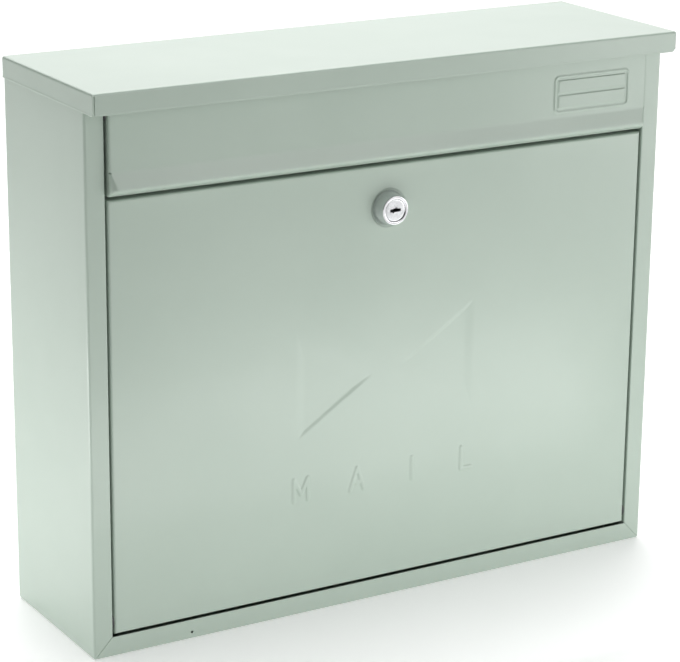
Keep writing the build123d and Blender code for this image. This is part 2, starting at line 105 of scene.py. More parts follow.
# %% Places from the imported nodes
STEEL = 0.8 * MM
FOLD = 1.4 * MM
TIGHT_FOLD = 0.6 * MM
SUPPORT = 0.5 * MM

case_low, case_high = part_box("casing")
roof_low, roof_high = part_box("roof")
door_low, door_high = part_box("door")
flap_low, flap_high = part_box("flap")
housing_low, housing_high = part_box("lock_housing")
plug_low, plug_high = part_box("lock_plug")
FRONT_Y = case_low.y
BASE_Z = case_low.z
LOCK_Z = (housing_low.z + housing_high.z) / 2
joints = {joint["name"]: joint for joint in frame["joints"]}
door_axis = joints["door_hinge"]["pos_m"]
flap_axis = joints["flap_hinge"]["pos_m"]
door_size = (door_high - door_low) / MM
print("door", round(door_size.x, 1), "by", round(door_size.z, 1), "mm")

# %% [markdown]
# ## Helpers for sheet surfaces
# A sheet is first drawn as one surface without thickness: a net of points and faces. Solidify then gives it
# the steel's thickness on the inside, and weighted normals keep the large faces flat beside the small folds.

# %% Spacing and fold helpers
FOLD_STEPS = 8


def spaced(start, stop, step):
    """Even steps from start to stop, both included."""
    count = max(1, round(abs(stop - start) / step))
    return list(np.linspace(start, stop, count + 1))


def joined(*runs):
    """One rising list out of several runs, with shared ends kept once."""
    values = sorted(value for run in runs for value in run)
    kept = [values[0]]
    for value in values[1:]:
        if value - kept[-1] > 0.02 * MM:
            kept.append(value)
    return kept


def quarter(steps=FOLD_STEPS):
    """Angles of a quarter turn without its start."""
    return [pi / 2 * (step + 1) / steps for step in range(steps)]


print("a fold has", FOLD_STEPS, "steps of", round(90 / FOLD_STEPS, 1), "degrees")


# %% From a net of points to a finished sheet
class Net:
    """Points and faces of a surface that is being drawn."""

    def __init__(self):
        self.points = []
        self.faces = []

    def point(self, x, y, z):
        self.points.append((x, y, z))
        return len(self.points) - 1

    def strip(self, first, second):
        """Quads between two equally long rows of points."""
        for index in range(len(first) - 1):
            self.faces.append((first[index], first[index + 1], second[index + 1], second[index]))

    def rows(self, rows):
        for first, second in zip(rows, rows[1:]):
            self.strip(first, second)


def evaluated_copy(piece):
    """The piece's mesh with its modifiers applied."""
    depsgraph = bpy.context.evaluated_depsgraph_get()
    made = bpy.data.meshes.new_from_object(piece.evaluated_get(depsgraph), depsgraph=depsgraph)
    piece.modifiers.clear()
    old = piece.data
    piece.data = made
    bpy.data.meshes.remove(old)
    made.name = piece.name


def new_piece(name, points, faces):
    mesh = bpy.data.meshes.new(name)
    mesh.from_pydata(points, [], faces)
    piece = bpy.data.objects.new(name, mesh)
    bpy.context.collection.objects.link(piece)
    return piece


def tidy_surface(piece, inside):
    """Merges shared points, drops empty faces and turns every face away from the point called inside."""
    net = bmesh.new()
    net.from_mesh(piece.data)
    bmesh.ops.remove_doubles(net, verts=net.verts, dist=0.004 * MM)
    bmesh.ops.dissolve_degenerate(net, edges=net.edges, dist=0.002 * MM)
    bmesh.ops.recalc_face_normals(net, faces=net.faces)
    outward = sum(
        face.normal.dot(face.calc_center_median() - inside) * face.calc_area() for face in net.faces)
    if outward < 0:
        bmesh.ops.reverse_faces(net, faces=net.faces)
    net.to_mesh(piece.data)
    net.free()


def smooth_finish(piece, sharp=40):
    """Smooth shading that stays crisp at real edges and flat on large faces."""
    piece.data.shade_smooth()
    piece.data.set_sharp_from_angle(angle=radians(sharp))
    weighted = piece.modifiers.new("weighted", "WEIGHTED_NORMAL")
    weighted.keep_sharp = True
    evaluated_copy(piece)


def thicken(piece, inside, steel=STEEL):
    tidy_surface(piece, inside)
    solid = piece.modifiers.new("solid", "SOLIDIFY")
    solid.thickness = steel
    solid.offset = -1
    solid.use_even_offset = True
    evaluated_copy(piece)


def cut(piece, cutter):
    """Takes the cutter out of the piece."""
    boolean = piece.modifiers.new("cut", "BOOLEAN")
    boolean.operation = "DIFFERENCE"
    boolean.solver = "EXACT"
    boolean.object = cutter
    evaluated_copy(piece)
    bpy.data.objects.remove(cutter)


def rod(radius, start, end, sides=32):
    """A closed cylinder between two points, used to cut round holes."""
    axis = Vector(end) - Vector(start)
    turn = axis.to_track_quat("Z", "Y").to_matrix().to_4x4()
    net = bmesh.new()
    bmesh.ops.create_cone(
        net, cap_ends=True, segments=sides, radius1=radius, radius2=radius, depth=axis.length,
        matrix=Matrix.Translation((Vector(start) + Vector(end)) / 2) @ turn,
    )
    mesh = bpy.data.meshes.new("rod")
    net.to_mesh(mesh)
    net.free()
    cutter = bpy.data.objects.new("rod", mesh)
    bpy.context.collection.objects.link(cutter)
    return cutter


def report(piece):
    print(piece.name, "has", len(piece.data.vertices), "points and", len(piece.data.polygons), "faces")


# %% [markdown]
# ## Pressed figures
# The press sinks two corners of a letter into the door and raises four plain capitals out of it. Each figure
# is a height over the flat sheet, worked out from the distance to its edge, so its flanks come out soft like
# pressed steel and the same formula can be read at any point.

# %% Heights of the pressed figures
RELIEF = 0.5 * MM
EMBLEM_WIDTH = 116 * MM
EMBLEM_HEIGHT = 67 * MM
EMBLEM_RISE = 89 * MM
EMBLEM_APEX_GAP = 12 * MM
LETTER_HEIGHT = 15 * MM
LETTER_WIDTH = 11 * MM
LETTER_STROKE = 2.2 * MM
LETTER_PITCH = 36 * MM
LETTER_RISE = 54 * MM
RECESS_RADIUS = 11.3 * MM
RECESS_DEPTH = 1.0 * MM

LETTER_M = [((0, 0), (0, 1)), ((0, 1), (0.5, 0.3)), ((0.5, 0.3), (1, 1)), ((1, 1), (1, 0))]
LETTER_A = [((0, 0), (0.5, 1)), ((0.5, 1), (1, 0)), ((0.2, 0.35), (0.8, 0.35))]
LETTER_I = [((0.5, 0), (0.5, 1))]
LETTER_L = [((0.15, 1), (0.15, 0)), ((0.15, 0), (0.9, 0))]


def ramp(distance, flank):
    """0 outside a figure, 1 well inside it, with a soft flank between."""
    share = np.clip(distance / flank, 0, 1)
    return share * share * (3 - 2 * share)


def inside_line(x, z, start, end):
    """Distance to the left of the line from start to end."""
    length = hypot(end[0] - start[0], end[1] - start[1])
    return ((end[0] - start[0]) * (z - start[1]) - (end[1] - start[1]) * (x - start[0])) / length


def near_stroke(x, z, start, end):
    """Distance to a straight stroke between two points."""
    run = np.array(end) - np.array(start)
    share = np.clip(((x - start[0]) * run[0] + (z - start[1]) * run[1]) / run.dot(run), 0, 1)
    return np.hypot(x - start[0] - share * run[0], z - start[1] - share * run[1])


emblem_low = door_low.z + EMBLEM_RISE
emblem_high = emblem_low + EMBLEM_HEIGHT
emblem_middle = (emblem_low + emblem_high) / 2
CRISP_FLANK = 2.4 * MM
EDGE_FLANK = 7 * MM
SOFT_FLANK = 15 * MM


def emblem_depth(x, z):
    """Left and right corner of a letter: crisp below on the left and above on the right, soft elsewhere."""
    half = EMBLEM_WIDTH / 2
    apex = EMBLEM_APEX_GAP / 2
    left = np.minimum.reduce([
        ramp(inside_line(x, z, (-half, emblem_high), (-half, emblem_low)), EDGE_FLANK),
        ramp(inside_line(x, z, (-half, emblem_low), (-apex, emblem_middle)), CRISP_FLANK),
        ramp(inside_line(x, z, (-apex, emblem_middle), (-half, emblem_high)), SOFT_FLANK),
    ])
    right = np.minimum.reduce([
        ramp(inside_line(x, z, (half, emblem_low), (half, emblem_high)), EDGE_FLANK),
        ramp(inside_line(x, z, (half, emblem_high), (apex, emblem_middle)), CRISP_FLANK),
        ramp(inside_line(x, z, (apex, emblem_middle), (half, emblem_low)), SOFT_FLANK),
    ])
    return np.maximum(left, right)


LETTER_FLANK = 0.7 * MM


def word_height(x, z):
    """Four plain capitals made of round-ended strokes."""
    height = np.zeros_like(x)
    foot = door_low.z + LETTER_RISE + LETTER_STROKE / 2
    for index, strokes in enumerate([LETTER_M, LETTER_A, LETTER_I, LETTER_L]):
        left_x = (index - 1.5) * LETTER_PITCH - LETTER_WIDTH / 2 + LETTER_STROKE / 2
        for ends in strokes:
            start, end = [
                (left_x + share_x * (LETTER_WIDTH - LETTER_STROKE),
                 foot + share_z * (LETTER_HEIGHT - LETTER_STROKE))
                for share_x, share_z in ends
            ]
            away = near_stroke(x, z, start, end)
            height = np.maximum(height, ramp(LETTER_STROKE / 2 + LETTER_FLANK / 2 - away, LETTER_FLANK))
    return height


def door_relief(x, z):
    """Height of the door's surface over its flat face, in metres."""
    x, z = np.asarray(x, float), np.asarray(z, float)
    recess = ramp(RECESS_RADIUS - np.hypot(x, z - LOCK_Z), 1.4 * MM)
    return RELIEF * (word_height(x, z) - emblem_depth(x, z)) - RECESS_DEPTH * recess


print("figures are", RELIEF / MM, "mm high or deep, the lock's recess", RECESS_DEPTH / MM, "mm deep")

# %% [markdown]
# ## Door
# The real door is a pan: a flat face with its four edges folded back. A net of lines covers the face, close
# together where figures are pressed and wide apart elsewhere. A round patch takes the place of the net at the
# lock, so that the recess and its hole are truly round. Rings of points then carry the edge round the folds.

# %% Net lines of the door's face
PATCH = 15 * MM
FINE = 0.5 * MM
MEDIUM = 0.8 * MM
COARSE = 9 * MM

face_x = door_high.x - FOLD
face_low_z = door_low.z + FOLD
face_high_z = door_high.z - FOLD
letter_runs = []
for index in range(4):
    middle = (index - 1.5) * LETTER_PITCH
    letter_runs.append(spaced(middle - LETTER_WIDTH / 2 - MM, middle + LETTER_WIDTH / 2 + MM, FINE))
half_emblem = EMBLEM_WIDTH / 2
letter_ends = [(run[0], run[-1]) for run in letter_runs]
gaps = zip(
    [-half_emblem - 3 * MM] + [end for _, end in letter_ends],
    [start for start, _ in letter_ends] + [half_emblem + 3 * MM])
x_lines = joined(
    [-face_x, -face_x + SUPPORT], spaced(-face_x + COARSE, -half_emblem - 3 * MM, COARSE),
    *[run for start, end in gaps if end > start for run in [spaced(start, end, MEDIUM)]], *letter_runs,
    spaced(half_emblem + 3 * MM, face_x - COARSE, COARSE), [face_x - SUPPORT, face_x],
)
x_lines = joined([x for x in x_lines if abs(abs(x) - PATCH) > 0.25 * MM], [-PATCH, PATCH])
word_low = door_low.z + LETTER_RISE - MM
word_high = word_low + LETTER_HEIGHT + 2 * MM
z_lines = joined(
    [face_low_z, face_low_z + SUPPORT], spaced(face_low_z + COARSE, word_low, COARSE),
    spaced(word_low, word_high, FINE), spaced(word_high, emblem_low - 2 * MM, COARSE),
    spaced(emblem_low - 2 * MM, emblem_high + 2 * MM, MEDIUM),
    spaced(emblem_high + 2 * MM, LOCK_Z - PATCH, COARSE),
    spaced(LOCK_Z - PATCH, LOCK_Z + PATCH, 1.2 * MM), [face_high_z - SUPPORT, face_high_z],
)
print("the face has", len(x_lines), "upright and", len(z_lines), "level lines")

# %% Door surface
LOCK_HOLE = 7.2 * MM


def loop_of(low_column, high_column, low_row, high_row):
    """Grid places round a rectangle, once round."""
    bottom = [(column, low_row) for column in range(low_column, high_column)]
    side = [(high_column, row) for row in range(low_row, high_row)]
    top = [(column, high_row) for column in range(high_column, low_column, -1)]
    back = [(low_column, row) for row in range(high_row, low_row, -1)]
    return bottom + side + top + back


def build_door():
    net = Net()
    columns, rows = len(x_lines), len(z_lines)
    grid_x, grid_z = np.meshgrid(x_lines, z_lines, indexing="ij")
    height = door_relief(grid_x, grid_z)
    patch_columns = [x_lines.index(-PATCH), x_lines.index(PATCH)]
    patch_rows = [int(np.argmin(np.abs(np.array(z_lines) - z))) for z in (LOCK_Z - PATCH, LOCK_Z + PATCH)]
    ids = {}
    for column in range(columns):
        for row in range(rows):
            hidden = patch_columns[0] < column < patch_columns[1] and patch_rows[0] < row < patch_rows[1]
            if not hidden:
                ids[column, row] = net.point(x_lines[column], FRONT_Y - height[column, row], z_lines[row])
    for column in range(columns - 1):
        for row in range(rows - 1):
            in_patch = patch_columns[0] <= column < patch_columns[1] and patch_rows[0] <= row < patch_rows[1]
            if not in_patch:
                corners = [(column, row), (column + 1, row), (column + 1, row + 1), (column, row + 1)]
                net.faces.append(tuple(ids[corner] for corner in corners))
    # round patch at the lock
    rim = loop_of(*patch_columns, *patch_rows)
    patch_rings = [[ids[place] for place in rim + rim[:1]]]
    for radius in [12.4, 11.6, 11.3, 11.0, 10.7, 10.4, 10.1, 9.8, 9.2, 8.2, LOCK_HOLE / MM]:
        ring = []
        for column, row in rim:
            turn = atan2(z_lines[row] - LOCK_Z, x_lines[column])
            x, z = radius * MM * cos(turn), LOCK_Z + radius * MM * sin(turn)
            ring.append(net.point(x, FRONT_Y - float(door_relief(x, z)), z))
        patch_rings.append(ring + ring[:1])
    net.rows(patch_rings)
    # folds and returns round the edge
    edge = loop_of(0, columns - 1, 0, rows - 1)
    rings = [[ids[place] for place in edge + edge[:1]]]
    depth = door_high.y - FRONT_Y
    steps = [(FOLD * sin(turn), FOLD - FOLD * cos(turn)) for turn in quarter()]
    steps += [(FOLD, FOLD + SUPPORT), (FOLD, depth * 0.6), (FOLD, depth)]
    for out, back in steps:
        ring = []
        for column, row in edge:
            x = x_lines[column] + out * ((column == columns - 1) - (column == 0))
            z = z_lines[row] + out * ((row == rows - 1) - (row == 0))
            ring.append(net.point(x, FRONT_Y + back, z))
        rings.append(ring + ring[:1])
    net.rows(rings)
    return new_piece("door_leaf_sheet", net.points, net.faces)


door_sheet = build_door()
thicken(door_sheet, Vector((0, -0.05, 0)))
for side in (-1, 1):
    outer = Vector((side * (door_high.x + 2 * MM), door_axis[1], door_axis[2]))
    cut(door_sheet, rod(2.1 * MM, outer, outer - Vector((side * 5 * MM, 0, 0))))
smooth_finish(door_sheet)
report(door_sheet)

# %% [markdown]
# ## Letter flap
# In side view the flap is one bent line: a short fold at the top, the flat face, a flare out to the drip
# nose, a turn back under it and a hem. That line, with a radius at each corner, is carried across the box, and
# round edges lead to the two side walls. The press adds a rim and two bars to the face as a blank name field.

# %% A bent line with a radius at each corner
def bent_line(corners, step):
    """Points and outward directions along a line with rounded corners: corners are (y, z, radius)."""
    points = []
    for index, (y, z, radius) in enumerate(corners):
        here = Vector((y, z))
        if index in (0, len(corners) - 1):
            points.append((here, None))
            continue
        before = (Vector(corners[index - 1][:2]) - here).normalized()
        after = (Vector(corners[index + 1][:2]) - here).normalized()
        half = before.angle(after) / 2
        reach = radius / np.tan(half)
        centre = here + (before + after).normalized() * (radius / sin(half))
        start, end = here + before * reach, here + after * reach
        sweep = (start - centre).angle_signed(end - centre)
        for share in np.linspace(0, 1, FOLD_STEPS + 1):
            arm = (start - centre).copy()
            arm.rotate(Matrix.Rotation(-sweep * share, 2))
            points.append((centre + arm, None))
    line = [points[0][0]]
    for (first, _), (second, _) in zip(points, points[1:]):
        count = max(1, round((second - first).length / step))
        line += [first.lerp(second, (part + 1) / count) for part in range(count)]
    outward = []
    for index in range(len(line)):
        run = line[min(index + 1, len(line) - 1)] - line[max(index - 1, 0)]
        outward.append(Vector((-run.y, run.x)).normalized())
    return line, outward


FLAP_FACE_Y = FRONT_Y - 3.0 * MM
NOSE_Y = FRONT_Y - 6.0 * MM
NOSE_RISE = 3.4 * MM
FLARE_RISE = 13 * MM
HEM = 8 * MM
SIDE_FOLD = 1.1 * MM
GUSSET_WIDTH = 1.2
GUSSET_DEPTH = 0.85
flap_corners = [
    (flap_high.y, flap_low.z + HEM, 0),
    (flap_high.y, flap_low.z, FOLD),
    (FRONT_Y, flap_low.z, 2.5 * MM),
    (NOSE_Y, flap_low.z + NOSE_RISE, 2.0 * MM),
    (FLAP_FACE_Y, flap_low.z + FLARE_RISE, 7 * MM),
    (FLAP_FACE_Y, flap_high.z, FOLD),
    (flap_high.y, flap_high.z, 0),
]
flap_line, flap_outward = bent_line(flap_corners, 0.5 * MM)
print("the flap's bent line has", len(flap_line), "points")

# %% Flap surface
BADGE_X = 130.5 * MM
BADGE_Z = flap_low.z + 26 * MM
BADGE_WIDTH, BADGE_HEIGHT, BADGE_RADIUS = 50 * MM, 20 * MM, 2.6 * MM
RIM_WIDTH = 1.1 * MM
PANEL_GAP = 1.3 * MM
BADGE_FLANK = 0.5 * MM


def flap_relief(x, z):
    """Height of the name field: a rim round two blank raised lines."""
    out_x = np.abs(x - BADGE_X) - BADGE_WIDTH / 2 + BADGE_RADIUS
    out_z = np.abs(z - BADGE_Z) - BADGE_HEIGHT / 2 + BADGE_RADIUS
    away = np.hypot(np.maximum(out_x, 0), np.maximum(out_z, 0)) + np.minimum(np.maximum(out_x, out_z), 0)
    away = away - BADGE_RADIUS
    rim = ramp(RIM_WIDTH / 2 + BADGE_FLANK / 2 - np.abs(away), BADGE_FLANK)
    panel = ramp(-away - RIM_WIDTH / 2 - PANEL_GAP, BADGE_FLANK)
    two_lines = ramp(np.abs(z - BADGE_Z) - 0.3 * MM, BADGE_FLANK)
    return RELIEF * np.maximum(rim, panel * two_lines)


def build_flap():
    net = Net()
    inner_x = flap_high.x - SIDE_FOLD
    badge_start, badge_end = BADGE_X - BADGE_WIDTH / 2 - 2 * MM, BADGE_X + BADGE_WIDTH / 2 + 2 * MM
    across = joined(
        [-inner_x, -inner_x + SUPPORT], spaced(-inner_x + COARSE, badge_start, COARSE),
        spaced(badge_start, badge_end, 0.45 * MM), [inner_x - SUPPORT, inner_x],
    )
    hem_rows = [
        index for index, point in enumerate(flap_line)
        if point.x > flap_high.y - 0.01 * MM and point.y < BADGE_Z]
    hem_end = max(hem_rows)
    rows = []
    rims = {-1: [], 1: []}
    for index, (point, outward) in enumerate(zip(flap_line, flap_outward)):
        on_face = abs(point.x - FLAP_FACE_Y) < 0.05 * MM
        # the corner grows rounder where the flare stands out
        stands_out = max(0.0, FLAP_FACE_Y - point.x)
        corner = SIDE_FOLD + GUSSET_WIDTH * stands_out
        last_x = flap_high.x - corner
        row = []
        for x in [-last_x, -last_x + SUPPORT] + across[2:-2] + [last_x - SUPPORT, last_x]:
            height = float(flap_relief(x, point.y)) if on_face else 0.0
            row.append(net.point(x, point.x + outward.x * height, point.y + outward.y * height))
        rows.append(row)
        if index <= hem_end:
            continue
        for side in (-1, 1):
            edge = [row[0] if side < 0 else row[-1]]
            for turn in quarter():
                back = SIDE_FOLD * (1 - cos(turn))
                y = point.x - outward.x * back + GUSSET_DEPTH * stands_out * (1 - cos(turn))
                x = side * (last_x + corner * sin(turn))
                edge.append(net.point(x, y, point.y - outward.y * back))
            rims[side].append(edge)
    net.rows(rows)
    for side in (-1, 1):
        net.rows(rims[side])
        net.faces.append(tuple(edge[-1] for edge in rims[side]))
    return new_piece("flap_sheet", net.points, net.faces)


flap_sheet = build_flap()
thicken(flap_sheet, Vector((0, -0.088, (flap_low.z + flap_high.z) / 2)))
report(flap_sheet)

# %% Hinge holes and relief notches of the flap
NOTCH_HALF = 0.35 * MM
NOTCH_REACH = 1.0 * MM


def wedge(side, z):
    """A thin wedge that cuts the relief notch where the flare begins."""
    outer, inner = side * (flap_high.x + MM), side * (flap_high.x - NOTCH_REACH)
    front, back = FLAP_FACE_Y - 3 * MM, FLAP_FACE_Y + 2.4 * MM
    corners = [(front, z - 2 * NOTCH_HALF), (front, z + 2 * NOTCH_HALF), (back, z)]
    points = [(x, y, height) for x in (outer, inner) for y, height in corners]
    faces = [(0, 1, 2), (5, 4, 3), (0, 3, 4, 1), (1, 4, 5, 2), (2, 5, 3, 0)]
    cutter = new_piece("wedge", points, faces)
    tidy_surface(cutter, Vector(((outer + inner) / 2, (front + 2 * back) / 3, z)))
    return cutter


for side in (-1, 1):
    outer = Vector((side * (flap_high.x + 2 * MM), flap_axis[1], flap_axis[2]))
    cut(flap_sheet, rod(2.1 * MM, outer, outer - Vector((side * 5 * MM, 0, 0))))
    cut(flap_sheet, wedge(side, flap_low.z + FLARE_RISE))
smooth_finish(flap_sheet)
report(flap_sheet)

# %% [markdown]
# ## Casing
# One blank makes the sides, the bottom and the front frame. The net follows the outline of the box from the
# top of one side, round the bottom, to the top of the other. At every station the section runs from the back
# edge round the front fold and across the flange, and on the sides it also turns back into the box. The
# flanges meet in a mitre at the lower corners, drawn as a fine groove.

# %% Stations round the casing
FRAME_WIDTH = 11.1 * MM
FRAME_RETURN = 20 * MM
RETURN_TOP_GAP = 4 * MM
TOP_FLANGE = 12 * MM
GROOVE_HALF = 0.3 * MM
GROOVE_DEPTH = 0.3 * MM
side_x = case_high.x
return_x = side_x - FRAME_WIDTH
opening_z = BASE_Z + FRAME_WIDTH
return_top_z = case_high.z - RETURN_TOP_GAP


def half_stations():
    """Stations of the left half, from the top down and along the bottom to the middle."""
    stations = []
    corner_x, corner_z = -side_x + FOLD, BASE_Z + FOLD
    upper = joined([opening_z], spaced(opening_z + 6 * MM, return_top_z, 12 * MM), [case_high.z])[::-1]
    for z in upper + [(opening_z + corner_z) / 2, corner_z + GROOVE_HALF]:
        inner = (-(return_x + TIGHT_FOLD), max(z, opening_z))
        stations.append({
            "core": (corner_x, z), "way": (-1, 0), "inner": inner, "groove": 0, "side": z >= opening_z})
    for turn in np.linspace(0, pi / 2, FOLD_STEPS + 1):
        inner = (-(return_x + TIGHT_FOLD / 2), opening_z)
        way = (-cos(turn), -sin(turn))
        stations.append({
            "core": (corner_x, corner_z), "way": way, "inner": inner, "groove": 1, "side": False})
    for x in joined([corner_x + GROOVE_HALF, (corner_x - return_x) / 2], spaced(-return_x, 0, 12 * MM)):
        inner = (max(x, -return_x), opening_z)
        stations.append({"core": (x, corner_z), "way": (0, -1), "inner": inner, "groove": 0, "side": False})
    return stations


def mirrored(station):
    flipped = dict(station)
    for key in ("core", "way", "inner"):
        flipped[key] = (-station[key][0], station[key][1])
    return flipped


left_half = half_stations()
stations = left_half + [mirrored(station) for station in left_half[-2::-1]]
print(len(stations), "stations round the casing")


# %% Casing surface
def build_casing():
    net = Net()
    wall_ys = sorted(joined(spaced(0, FRONT_Y + FOLD + SUPPORT, 16 * MM), [FRONT_Y + FOLD]), reverse=True)
    rows = []
    for station in stations:
        (core_x, core_z), (way_x, way_z) = station["core"], station["way"]
        inner_x, inner_z = station["inner"]
        row = [net.point(core_x + way_x * FOLD, y, core_z + way_z * FOLD) for y in wall_ys]
        for turn in quarter():
            out = FOLD * cos(turn)
            sink = station["groove"] * GROOVE_DEPTH * sin(turn) ** 8
            y = FRONT_Y + FOLD - FOLD * sin(turn) + sink
            row.append(net.point(core_x + way_x * out, y, core_z + way_z * out))
        dip = station["groove"] * GROOVE_DEPTH
        for share in (0.05, 0.95, 1.0):
            x = core_x + (inner_x - core_x) * share
            z = core_z + (inner_z - core_z) * share
            row.append(net.point(x, FRONT_Y + dip, z))
        rows.append(row)
    net.rows(rows)
    for side in (-1, 1):
        folds = []
        for station, row in zip(stations, rows):
            if not station["side"] or station["core"][0] * side < 0:
                continue
            z = station["core"][1]
            if z > return_top_z:
                continue
            fold = [row[-1]]
            for turn in quarter(5):
                x = side * (return_x + TIGHT_FOLD - TIGHT_FOLD * sin(turn))
                fold.append(net.point(x, FRONT_Y + TIGHT_FOLD - TIGHT_FOLD * cos(turn), z))
            for depth in (TIGHT_FOLD + 0.3 * MM, FRAME_RETURN / 2, FRAME_RETURN):
                fold.append(net.point(side * return_x, FRONT_Y + depth, z))
            folds.append(fold)
        net.rows(folds)
        lowest = min(folds, key=lambda fold: net.points[fold[-1]][2])
        ends = [index for index in lowest if net.points[index][1] > FRONT_Y + STEEL]
        foot = [net.point(side * return_x, net.points[index][1], BASE_Z + STEEL) for index in ends]
        net.strip(ends, foot)
        top_row = rows[0] if side < 0 else rows[-1]
        ledge = [index for index in top_row if -1 * MM > net.points[index][1] > FRONT_Y + FRAME_RETURN]
        inner_x = side * (side_x - STEEL - TOP_FLANGE)
        inner = [net.point(inner_x, net.points[index][1], case_high.z) for index in ledge]
        net.strip(ledge, inner)
    return new_piece("case_sheet", net.points, net.faces)


case_sheet = build_casing()
thicken(case_sheet, Vector((0, -0.05, 0)))
report(case_sheet)

# %% Holes in the casing
JIG_HOLE = (-121.8 * MM, 3.9 * MM)
JIG_RADIUS = 0.75 * MM
PIN_HOLE_RADIUS = 2.0 * MM
RIVET_HOLE_RADIUS = 1.6 * MM
DRILL_REACH = 1.2 * MM
RIVET_PITCH = 13 * MM
rivet_y = (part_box("rail_rivets")[0].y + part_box("rail_rivets")[1].y) / 2
rivet_z = (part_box("rail_rivets")[0].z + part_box("rail_rivets")[1].z) / 2
across_holes = [(axis[1], axis[2], PIN_HOLE_RADIUS) for axis in (door_axis, flap_axis)]
across_holes += [(rivet_y, rivet_z + half * RIVET_PITCH / 2, RIVET_HOLE_RADIUS) for half in (-1, 1)]
for y, z, radius in across_holes:
    for side in (-1, 1):
        middle = side * (return_x + STEEL / 2)
        cut(case_sheet, rod(radius, (middle - DRILL_REACH, y, z), (middle + DRILL_REACH, y, z)))
jig_x, jig_z = JIG_HOLE[0], BASE_Z + JIG_HOLE[1]
cut(case_sheet, rod(JIG_RADIUS, (jig_x, FRONT_Y - MM, jig_z), (jig_x, FRONT_Y + 2 * MM, jig_z), 20))
smooth_finish(case_sheet)
report(case_sheet)

# %% [markdown]
# ## Roof
# The roof is a tray with three lips. The folds meet in a mitre at the front corners. Below the fold the front
# lip is free at its left end, which leaves a narrow dark seam, and its right corner is rounded. The powder
# coat gathers at the lower edge of a lip, so the last millimetre is drawn as a slight bead.

# %% Roof surface
ROOF_SEAM = 0.5 * MM
BEAD = 0.12 * MM
LIP_CORNER = 1.8 * MM


def build_roof():
    net = Net()
    wide = roof_high.x - FOLD - BEAD
    deep = roof_low.y + FOLD + BEAD
    top_z = roof_high.z
    slit_x = -(roof_high.x - BEAD - STEEL - ROOF_SEAM)
    xs = joined(
        [-wide, -wide + SUPPORT, slit_x], spaced(-wide + 10 * MM, wide - 10 * MM, 15 * MM),
        spaced(wide - LIP_CORNER, wide, 0.3 * MM),
    )
    xs = [x for x in xs if x <= wide + 0.001 * MM]
    ys = joined(spaced(deep, deep + LIP_CORNER, 0.3 * MM), spaced(deep + 10 * MM, 0, 14 * MM))[::-1]
    net.rows([[net.point(x, y, top_z) for y in ys] for x in xs])
    # the edge as seen from above: place on the flat top and direction of the lip below it
    left = [(-wide, y, -1, 0) for y in ys[:-1]] + [(-wide, deep, -1, -1)]
    front = [(x, deep, 0, -1) for x in xs[1:]]
    corner = [(wide, deep, sin(turn), -cos(turn)) for turn in quarter()]
    right_side = [(wide, y, 1, 0) for y in ys[-2::-1]]
    edge = left + front + corner + right_side
    rings = [[net.point(x, y, top_z) for x, y, _, _ in edge]]
    for turn in quarter():
        out, down = FOLD * sin(turn), FOLD * (1 - cos(turn))
        rings.append([
            net.point(x + way_x * out, y + way_y * out, top_z - down) for x, y, way_x, way_y in edge])
    net.rows(rings)
    # height above the lower edge of a lip and share of the bead there
    drops = [(top_z - roof_low.z - FOLD - SUPPORT, 0), (3 * MM, 0), (1.15 * MM, 0), (0.85 * MM, 0.6)]
    drops += [(0.5 * MM, 1), (0.2 * MM, 0.9), (0, 0.3)]
    left_run = range(len(left))
    front_run = [
        index for index in range(len(left), len(edge))
        if edge[index][0] + edge[index][2] * FOLD >= slit_x - 1e-6]
    for run, fixed_way in ((left_run, (-1, 0)), (front_run, None)):
        rows = [[rings[-1][index] for index in run]]
        for height, share in drops:
            row = []
            for index in run:
                x, y, way_x, way_y = edge[index]
                place_x, place_y, _ = net.points[rings[-1][index]]
                # the lip's lower corner at the right front is rounded off
                from_corner = max(wide - x, y - deep) if x > 0 else LIP_CORNER
                arm = LIP_CORNER - min(from_corner, LIP_CORNER)
                lift = LIP_CORNER - (LIP_CORNER ** 2 - arm ** 2) ** 0.5
                bead_x, bead_y = fixed_way or (way_x, way_y)
                z = roof_low.z + height + min(lift, LIP_CORNER * 0.8) * (height < 2 * MM)
                row.append(net.point(place_x + bead_x * share * BEAD, place_y + bead_y * share * BEAD, z))
            rows.append(row)
        net.rows(rows)
    return new_piece("roof_sheet", net.points, net.faces)


roof_sheet = build_roof()
thicken(roof_sheet, Vector((0, -0.05, roof_low.z - 0.02)))
smooth_finish(roof_sheet)
report(roof_sheet)

# %% [markdown]
# ## Lock
# The head is turned from one bar: a foot in the recess, a tapered collar and a raised rim round the plug. A
# turned part is a profile swung round its axis, so both parts are made by the same helper.

# %% A turned part
TURN_STEPS = 96


def turned(name, profile, closed=True):
    """Swings (radius, y) points in millimetres round the lock's axis."""
    points, faces = [], []
    for step in range(TURN_STEPS):
        turn = 2 * pi * step / TURN_STEPS
        for radius, y in profile:
            points.append((radius * MM * cos(turn), y, LOCK_Z + radius * MM * sin(turn)))
    count = len(profile)
    for step in range(TURN_STEPS):
        after = (step + 1) % TURN_STEPS
        for index in range(count if closed else count - 1):
            other = (index + 1) % count
            faces.append((
                step * count + index, after * count + index,
                after * count + other, step * count + other))
    return new_piece(name, points, faces)


